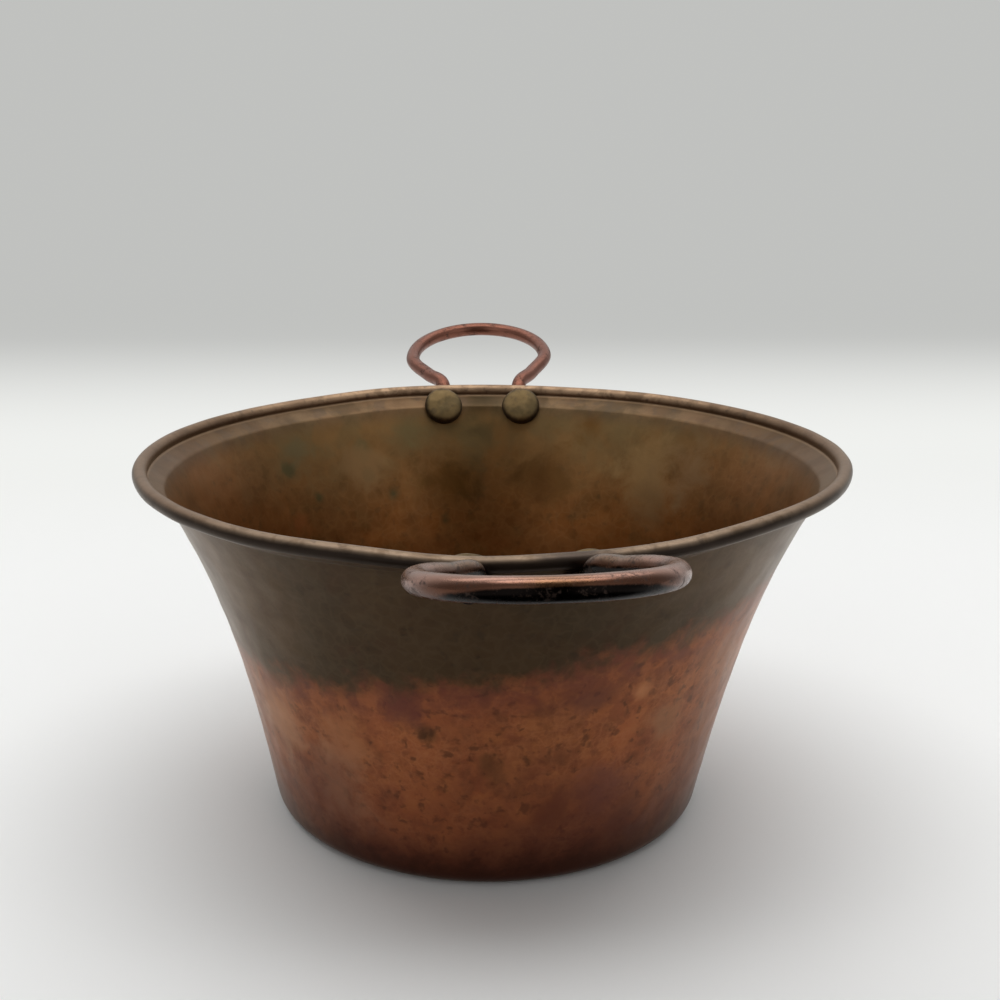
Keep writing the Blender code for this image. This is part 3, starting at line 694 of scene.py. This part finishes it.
def off_sheet(points, line):
    """How far points lie outside the middle of the sheet, and the way out from it: the nearest place on
    a line of its section, found for each point's radius and height."""
    flat = np.stack((np.hypot(points[..., 0], points[..., 1]), points[..., 2]), axis=-1)
    starts, runs = line[:-1], np.diff(line, axis=0)
    share = ((flat[..., None, :] - starts) * runs).sum(axis=-1) / (runs * runs).sum(axis=-1)
    nearest = starts + np.clip(share, 0.0, 1.0)[..., None] * runs
    gap = np.linalg.norm(flat[..., None, :] - nearest, axis=-1)
    best = gap.argmin(axis=-1)
    out = unit(np.stack((runs[:, 1], -runs[:, 0]), axis=-1)[best])
    away = ((flat - starts[best]) * out).sum(axis=-1)
    radial = points[..., :2] / flat[..., :1]
    return away, np.concatenate((out[..., :1] * radial, out[..., 1:]), axis=-1)


def half_handle():
    """Middles and spokes of rings about the centre line, and how far along it they lie: a disc that rounds
    off the palm's tip, then a section that goes from a flat rounded oblong to a circle."""
    line = half_centre_line()
    gone = gone_along(line)
    tip = PALM_RADIUS * (1 - np.cos(np.linspace(0.12, math.pi / 2, 16)))
    rest = np.linspace(PALM_RADIUS, gone[-1], 118)[1:]
    station = np.concatenate((tip, rest))
    centre = np.column_stack([np.interp(station, gone, line[:, i]) for i in range(3)])
    heading = np.gradient(line, gone, axis=0)
    heading[-1] = (-1.0, 0.0, 0.0)
    heading = unit(np.column_stack([np.interp(station, gone, heading[:, i]) for i in range(3)]))
    thick = unit(palm_through - (heading @ palm_through)[:, None] * heading)
    wide = np.cross(thick, heading)
    narrow = 1 - eased(station, PALM_RADIUS, PALM_RADIUS + PALM_NARROWING)
    flat = 1 - eased(station, PALM_RADIUS + PALM_FLAT, PALM_RADIUS + PALM_FLAT + PALM_TAPER)
    disc = np.sqrt(np.clip(PALM_RADIUS**2 - (station - PALM_RADIUS) ** 2, 0.0, None))
    rod = ROD_RADIUS + (PALM_RADIUS - ROD_RADIUS) * narrow
    half_width = np.where(station < PALM_RADIUS, disc, rod)
    half_thickness = ROD_RADIUS + (PALM_THICKNESS / 2 - ROD_RADIUS) * flat
    power = 2 / (2 + (PALM_SQUARENESS - 2) * flat)[:, None]
    angle = full_turn(ROD_SIDES)
    across = np.sign(np.cos(angle)) * np.abs(np.cos(angle)) ** power * half_width[:, None]
    deep = np.sign(np.sin(angle)) * np.abs(np.sin(angle)) ** power * half_thickness[:, None]
    return centre, across[..., None] * wide[:, None] + deep[..., None] * thick[:, None], station


def twisted(rings, angle):
    """Rings turned about the middle of the handle's own plane, by an angle that grows past the rim."""
    middle = on_handle_plane((-rings[..., 1] - BEAD_CENTRE[0]) / math.cos(HANDLE_RISE), 0.0)
    twist = angle * eased(-middle[..., 1:2], BEAD_CENTRE[0] + TWIST_STARTS, BEAD_CENTRE[0] + TWIST_ENDS)
    arm = rings - middle
    upright = np.array((0.0, math.sin(HANDLE_RISE), math.cos(HANDLE_RISE)))
    level = np.array((1.0, 0.0, 0.0))
    lifted = (arm @ upright)[..., None]
    sideways = arm[..., :1]
    rings = rings + (np.cos(twist) - 1) * (lifted * upright + sideways * level)
    return rings + np.sin(twist) * (sideways * upright - lifted * level)


def handle_rings(side, seed):
    """Both halves of a handle, and how squarely each point faces outwards and down, or in front also
    inwards and down, where the finish paints a near-black band: a painted reflection of the dark room in
    front, and painted shade on the loop's inner side. The rod was forged by eye, so its thickness swells and
    shrinks by a few hundredths, as a sum of sine waves along and round it says. Where a ring would enter the
    sheet, it is pressed flat on it."""
    centre, spoke, station = half_handle()
    flip = np.array((-1.0, 1.0, 1.0))
    centre = np.vstack((centre, centre[-2::-1] * flip))
    spoke = np.concatenate((spoke, spoke[-2::-1] * flip))
    gone = np.concatenate((station, 2 * station[-1] - station[-2::-1]))[:, None] / MM
    phases = np.random.default_rng(seed).uniform(0, 2 * math.pi, len(ROD_WAVES))
    worn = sum(
        size * np.sin(gone / run + times * full_turn(ROD_SIDES) + phase)
        for (run, times, size), phase in zip(ROD_WAVES, phases)
    )
    thinned = worn - sum(size for _, _, size in ROD_WAVES)
    rings = twisted(centre[:, None] + spoke * (1 + ROD_SWELL * thinned)[..., None], TWISTS[side])
    away, out = off_sheet(rings, seat_line)
    short = np.clip(HALF_SHEET + SEAT_GAP - away, 0.0, None)
    facing = unit(spoke)
    outer = facing @ (0.0, -math.cos(PAINTED_DARK_TILT), -math.sin(PAINTED_DARK_TILT))
    if side == "front":
        inner = -0.8 * np.sign(centre[:, :1]) * facing[..., 0] - 0.6 * facing[..., 2] + PAINTED_DARK_INSIDE
        outer = np.maximum(outer, inner)
    return rings + short[..., None] * out, outer


def swung(points, angle):
    """Points turned about the pan's axis."""
    c, s = math.cos(angle), math.sin(angle)
    x, y, z = points[..., 0], points[..., 1], points[..., 2]
    return np.stack((c * x - s * y, s * x + c * y, z), axis=-1)


def about_rivet(points, angle):
    """Points given in a rivet's own frame, whose Z runs along the shank into the pan, set in place."""
    c, s = math.cos(RIVET_TILT), math.sin(RIVET_TILT)
    x, y, z = points[..., 0], points[..., 1], points[..., 2]
    front = np.stack((x, -CREASE[0] + s * y + c * z, CREASE[1] - c * y + s * z), axis=-1)
    return swung(front, angle)


def drill(name, radius, start, end, angle):
    """A round cutter on a rivet's axis."""
    return skin(name, sagged(about_rivet(turned(radius, full_turn(40), np.array(((start,), (end,)))), angle)))


def cut(piece, cutters):
    """Takes cutters out of a piece, merges the slivers that this leaves, and removes the cutters. Faces of
    more than four corners become triangles first, so that none folds."""
    for cutter in cutters:
        modifier = piece.modifiers.new(cutter.name, "BOOLEAN")
        modifier.operation = "DIFFERENCE"
        modifier.solver = "EXACT"
        modifier.object = cutter
    merged = bmesh.new()
    merged.from_object(piece, bpy.context.evaluated_depsgraph_get())
    bmesh.ops.triangulate(merged, faces=[face for face in merged.faces if len(face.verts) > 4])
    bmesh.ops.remove_doubles(merged, verts=merged.verts, dist=SLIVER)
    bmesh.ops.dissolve_degenerate(merged, edges=merged.edges, dist=SLIVER)
    merged.to_mesh(piece.data)
    merged.free()
    piece.modifiers.clear()
    for cutter in cutters:
        bpy.data.objects.remove(cutter, do_unlink=True)


def handle_finish():
    """Pinkish worn copper with dark scale in the pits: redder at the rear, with dirt near the rim. Where the
    rod faces outwards and down, and in front on the loop's inner side, a brown veil and a near-black band are
    painted shade and a painted reflection of the dark room in front. A golden patch on the grip is rubbed
    copper under a painted highlight, and bright nicks are where the grip is rubbed."""
    material, shader, place = finish("worn handle copper")
    y = node("SeparateXYZ", {0: place}).outputs[1]
    outer = marked(material, "outer")
    slow = clouds(place, 16 * MM, 3.0, 0.55, 0.4)
    medium = clouds(place, 5 * MM, 4.0, 0.65, 0.5)
    pits = clouds(place, 0.8 * MM, 3.0, 0.7)
    grain = clouds(place, 0.35 * MM, 2.0, 0.6)
    colour = over(between(slow, 0.4, 0.6), (0.33, 0.185, 0.14), (0.27, 0.145, 0.105))
    colour = coated(colour, (medium, 0.48, 0.68, 0.0, 0.6, (0.26, 0.145, 0.115)))
    rear = between(y, 0.0, 50 * MM)
    near_rim = between(plus(y, (medium, 12 * MM)), -147 * MM, -130 * MM, 0.0, 0.75)
    near_rim = reckon("MULTIPLY", near_rim, between(rear, 0.0, 1.0, 1.0, 0.0))
    speckled = between(pits, 0.5, 0.6, 0.0, 0.8)
    colour = washed(colour, (rear, 0.85, (0.18, 0.066, 0.042)))
    colour = over(near_rim, colour, (0.17, 0.108, 0.066))
    colour = washed(colour, (near_rim, speckled, (0.05, 0.035, 0.022)))
    # a golden patch on the grip: rubbed copper, and a painted highlight
    gold = patch(place, medium, (-2 * MM, -190.5 * MM, 140.5 * MM), 9 * MM)
    # a brown veil where the rod faces outwards and down: painted shade that dims the highlight there
    colour = coated(colour, (outer, 0.08, 0.5, 0.0, 0.86, (0.075, 0.028, 0.014)))
    colour = washed(colour, (gold, 0.45, (0.2, 0.1, 0.04)))
    # a near-black band on the same side, and in front on the loop's inner side: a painted reflection of the
    # dark room in front, and painted shade
    painted_dark_band = plus(outer, (medium, -0.2))
    colour = coated(colour, (painted_dark_band, 0.54, 0.66, 0.0, 1.0, (0.004, 0.0025, 0.002)))
    for x, z, size in ((-16.6, 139.3, 1.0), (10.0, 140.2, 1.0), (13.0, 138.8, 0.9)):
        nick = patch(place, medium, (x * MM, -191.7 * MM, z * MM), size * MM)
        colour = over(nick, colour, (0.3, 0.24, 0.2))
    scaled = between(plus(medium, (pits, 0.7)), 0.92, 1.06, 0.0, 0.75)
    colour = over(scaled, colour, (0.06, 0.04, 0.032))
    roughness = plus(between(medium, 0.35, 0.7, 0.22, 0.32), (rear, 0.12), (scaled, 0.3))
    relief = plus(pits, (scaled, -0.6), (grain, 0.2))
    plug(shader, {"Base Color": colour, "Roughness": roughness, "Metallic": 0.95})
    plug(shader, {"Normal": bumps(relief, 0.3, 0.1 * MM)})
    return material


handle_copper = handle_finish()
pan_drills = []
for seed, (side, swing) in enumerate(SIDES.items()):
    rings, outer = handle_rings(side, seed + 3)
    handle = skin(side + "_loop_handle", sagged(swung(rings, swing)))
    mark(handle, "outer", outer)
    drills = []
    for hand, azimuth in HANDS.items():
        key, angle = side + "_" + hand, swing + azimuth
        drills.append(drill(key + "_hole", SHANK_RADIUS + SEAT_GAP, 2 * PALM_FACE, 3 * MM, angle))
        drills.append(drill(key + "_face", PEENED_RADIUS + SEAT_GAP, 2 * PALM_FACE, SPOT_FACE, angle))
        pan_drills.append(drill(key + "_pan", SHANK_RADIUS + SEAT_GAP, -3 * MM, 3 * MM, angle))
    cut(handle, drills)
    handle.data.materials.append(handle_copper)
    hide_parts(side + "_handle")
    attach(handle, "root")
cut(pan, pan_drills)

# The four rivets: copper, with a broad head inside the pan that was set with a hammer and dressed down to
# the wall, a shank through sheet and palm, and a smaller head beaten over on the palm outside.
HEAD_RADIUS = 16.0 * MM / 2
HEAD_HEIGHT = 3.4 * MM
HEAD_SQUARENESS = 2.8
WORN_HEADS = {"front_left": 0.96, "front_right": 0.9}  # hammered a little smaller than the other two
PEENED_HEIGHT = 1.9 * MM
HAMMER_FLAT = 0.22 * MM  # depth of the flats that the hammer left on the inner heads
RIVET_SIDES = 56
INNER_SEAT = HALF_SHEET + SEAT_GAP
head_line = np.vstack((*stretches[1:6], stretches[6][:16]))


def rivet_rings(angle, seed, head_radius):
    """Rings about the shank, from the tip of the outer head to the top of the inner one. The outer head is
    half an ellipse in section. The inner one is squarer, |r|^n + |h|^n = 1, and flattened a little where
    the hammer fell, and it is dressed down wherever it would come nearer to the sheet than its gap."""
    rng = np.random.default_rng(seed)
    quarter = np.linspace(0.0, math.pi / 2, 12)
    outer = np.column_stack((PEENED_RADIUS * np.sin(quarter[1:]), -PEENED_HEIGHT * np.cos(quarter[1:])))
    outer[:, 1] += SPOT_FACE - SEAT_GAP
    under_outer = np.array(((0.8 * PEENED_RADIUS, SPOT_FACE - SEAT_GAP), (SHANK_RADIUS, SPOT_FACE - SEAT_GAP)))
    shank = np.column_stack((np.full(6, SHANK_RADIUS), np.linspace(SPOT_FACE, 0.0, 6)))
    seat = np.column_stack((np.linspace(SHANK_RADIUS, head_radius, 12), np.zeros(12)))
    dome = np.column_stack((np.cos(quarter[:-1]), np.sin(quarter[:-1]))) ** (2 / HEAD_SQUARENESS)
    dome = dome * (head_radius, HEAD_HEIGHT) + (0.0, INNER_SEAT)
    profile = np.vstack((outer, under_outer, shank, seat, dome))
    ring = full_turn(RIVET_SIDES)
    phase = rng.uniform(0, 2 * math.pi, 4)
    wobble = 1 - 0.012 * (1 + np.sin(2 * ring + phase[0])) - 0.008 * (1 + np.sin(3 * ring + phase[1]))
    radius = profile[:, :1] * np.where(profile[:, :1] > 1.02 * SHANK_RADIUS, wobble, 1.0)
    points = turned(radius, ring, profile[:, 1:])
    seats = slice(len(outer) + len(under_outer) + len(shank), len(profile) - len(dome))
    for _ in range(8):
        points[seats, :, 2] += off_sheet(about_rivet(points[seats], angle), head_line)[0] + INNER_SEAT
    domed = slice(len(profile) - len(dome), None)
    points[domed, :, 2] = np.maximum(points[domed, :, 2], points[-len(dome) - 1, :, 2])
    x, y = points[domed, :, 0] / head_radius, points[domed, :, 1] / head_radius
    flats = 0.0
    for _ in range(9):
        cx, cy = rng.uniform(-0.75, 0.75, 2)
        flats = np.maximum(flats, 1 - ((x - cx) ** 2 + (y - cy) ** 2) / 0.12)
    inner = np.clip(1 - x * x - y * y, 0.0, 1.0) ** 0.5
    points[domed, :, 2] -= HAMMER_FLAT * flats * inner
    placed = about_rivet(points, angle)
    away, out = off_sheet(placed[domed], head_line)
    placed[domed] -= np.clip(away + INNER_SEAT, 0.0, None)[..., None] * out
    return placed


def rivet_finish():
    """Dull olive-brown copper with a green tinge, darker round the edge: dirt, and painted shade where the
    head meets the wall.
    """
    material, shader, place = finish("dull rivet copper")
    slow = clouds(place, 7 * MM, 3.0, 0.55, 0.3)
    medium = clouds(place, 2.4 * MM, 4.0, 0.6, 0.3)
    grain = clouds(place, 0.5 * MM, 2.0, 0.6)
    colour = over(between(slow, 0.4, 0.6), (0.17, 0.112, 0.045), (0.12, 0.082, 0.034))
    # darker round the edge of the head: dirt, and painted shade where the head meets the wall
    edge_dirt_and_shade = plus(marked(material, "edge"), (medium, 0.3))
    colour = coated(
        colour,
        (medium, 0.52, 0.7, 0.0, 0.7, (0.13, 0.09, 0.045)),
        (edge_dirt_and_shade, 0.95, 1.15, 0.0, 0.85, (0.045, 0.028, 0.014)),
    )
    roughness = between(medium, 0.3, 0.7, 0.52, 0.66)
    plug(shader, {"Base Color": colour, "Roughness": roughness, "Metallic": 0.75})
    plug(shader, {"Normal": bumps(plus(medium, (grain, 0.3)), 0.4, 0.1 * MM)})
    return material


rivet_copper = rivet_finish()
for side, swing in SIDES.items():
    for hand, azimuth in HANDS.items():
        key, angle = side + "_" + hand, swing + azimuth
        head = HEAD_RADIUS * WORN_HEADS.get(key, 1.0)
        rings = rivet_rings(angle, 40 + 10 * list(SIDES).index(side) + list(HANDS).index(hand), head)
        rivet = skin(key + "_rivet_set", sagged(rings))
        middle = about_rivet(0 * UP, angle)
        axis = about_rivet(UP, angle) - middle
        arm = rings.reshape(-1, 3) - middle
        arm -= (arm @ axis)[:, None] * axis
        mark(rivet, "edge", np.linalg.norm(arm, axis=1) / HEAD_RADIUS)
        rivet.data.materials.append(rivet_copper)
        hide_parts(key + "_rivet")
        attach(rivet, "root")

# The table and the backdrop: one smooth pale sheet that curves up behind the pan, evenly bright there. It
# isn't part of the object. In front, a patch of the table is near black for reflections only: painted shade
# that stands for the dark room where the photographer leans over the table, and that the copper mirrors.
TABLE_FRONT, TABLE_BACK, COVE = -0.46, 1.10, 0.16
HALF_TABLE, BACKDROP_TOP = 1.3, 0.45
cove = arc((TABLE_BACK, COVE), COVE, -math.pi / 2, 0.0, 12)
sweep = np.vstack(((TABLE_FRONT, 0.0), (0.0, 0.0), cove, (TABLE_BACK + COVE, BACKDROP_TOP)))
columns = np.linspace(-HALF_TABLE, HALF_TABLE, 5)
points = np.column_stack((np.repeat(columns, len(sweep)), np.tile(sweep, (len(columns), 1))))
corner = (np.arange(len(columns) - 1)[:, None] * len(sweep) + np.arange(len(sweep) - 1)).ravel()
faces = np.column_stack((corner, corner + len(sweep), corner + len(sweep) + 1, corner + 1))
sweep_mesh = bpy.data.meshes.new("table_and_backdrop")
sweep_mesh.from_pydata(points.tolist(), [], faces.tolist())
sweep_mesh.shade_smooth()
table = added("table_and_backdrop", sweep_mesh)
material, shader, place = finish("pale table")
tree = material.node_tree
sideways, deep, _ = node("SeparateXYZ", {0: place}).outputs
plug(shader, {"Base Color": (0.87, 0.87, 0.86), "Roughness": 0.7, "Specular IOR Level": 0.2})
ray = node("LightPath", {}, tree).outputs
seen = reckon("MAXIMUM", ray["Is Camera Ray"], ray["Is Glossy Ray"])
share = reckon("MULTIPLY", seen, between(deep, 0.2, 0.52))
paper = between(deep, 0.52, 1.2, 0.88, 0.535)
paper = node("Emission", {"Color": (0.99, 1.0, 0.975), "Strength": paper}, tree).outputs[0]
dressed_table = node("MixShader", {0: share, 1: shader.outputs[0], 2: paper}).outputs[0]
# painted shade: the table's front shows near black to reflections only
shaded = between(reckon("ABSOLUTE", sideways), 0.16, 0.26, 1.0, 0.0)
shaded = reckon("MULTIPLY", shaded, between(deep, -0.21, -0.155, 1.0, 0.0))
shaded = reckon("MULTIPLY", shaded, ray["Is Glossy Ray"])
painted_dark_room = node("Emission", {"Color": (0.01, 0.009, 0.008), "Strength": 1.0}, tree).outputs[0]
dressed_table = node("MixShader", {0: shaded, 1: dressed_table, 2: painted_dark_room}).outputs[0]
plug(tree.nodes["Material Output"], {"Surface": dressed_table})
sweep_mesh.materials.append(material)

# The light: two long rows of soft ceiling lamps, overhead and behind, dim walls all round, and the
# photographer leaning in, dark, from the front. The camera itself sees an even pale backdrop.
for name, place, tilt, size, watts in (
    ("overhead_row", (0.0, -0.08, 2.1), 0.0, (2.5, 0.75), 22.5),
    ("rear_row", (0.0, 1.3, 2.1), math.radians(-20), (4.2, 0.85), 20.5),
):
    lamp = added(name, bpy.data.lights.new(name, "AREA"))
    lamp.data.shape = "RECTANGLE"
    lamp.data.size, lamp.data.size_y = size
    lamp.data.energy = watts
    lamp.location = place
    lamp.rotation_euler[0] = tilt
world = bpy.data.worlds.new("studio")
bpy.context.scene.world = world
world.use_nodes = True
tree = world.node_tree
east, north, up = node("SeparateXYZ", {0: node("TexCoord", {}, tree).outputs["Generated"]}).outputs
behind = reckon("MULTIPLY", between(north, 0.3, 0.8), between(up, 0.45, 0.8, 1.0, 0.0))
walls = plus(between(north, -0.8, -0.3, 1.0, 0.42), (behind, 0.5))
in_the_way = between(reckon("ABSOLUTE", east), 0.22, 0.42, 1.0, 0.0)
in_the_way = reckon("MULTIPLY", in_the_way, between(north, -0.32, -0.12, 1.0, 0.0))
bright = reckon("MULTIPLY", walls, between(in_the_way, 0.0, 1.0, 1.0, 0.02))
seen = node("LightPath", {}, tree).outputs["Is Camera Ray"]
strength = node("Mix", {0: seen, 2: bright, 3: 0.55}).outputs[0]
plug(tree.nodes["Background"], {"Strength": strength, "Color": (0.99, 1.0, 1.0)})

# The camera stands in front and a little to the left, looking down into the pan, as the photographer did.
CAMERA_PLACE = (-0.03449, -0.43978, 0.22658)
YAW, PITCH, ROLL = 0.08417, 0.2678, 0.0093
FOCAL_PIXELS, PICTURE_PIXELS, SENSOR_WIDTH = 1316.4, 1000, 36.0
ahead = np.array((math.sin(YAW) * math.cos(PITCH), math.cos(YAW) * math.cos(PITCH), -math.sin(PITCH)))
level = np.array((math.cos(YAW), -math.sin(YAW), 0.0))
above = np.cross(level, ahead)
across = math.cos(ROLL) * level + math.sin(ROLL) * above
upward = -math.sin(ROLL) * level + math.cos(ROLL) * above
camera = added("camera", bpy.data.cameras.new("camera"))
camera.data.sensor_width = SENSOR_WIDTH
camera.data.lens = FOCAL_PIXELS * SENSOR_WIDTH / PICTURE_PIXELS
camera.data.clip_start = 0.01
stand = np.eye(4)
stand[:3, :3] = np.column_stack((across, upward, -ahead))
stand[:3, 3] = CAMERA_PLACE
camera.matrix_world = Matrix(stand)
bpy.context.scene.camera = camera
bpy.context.scene.view_settings.view_transform = "Standard"
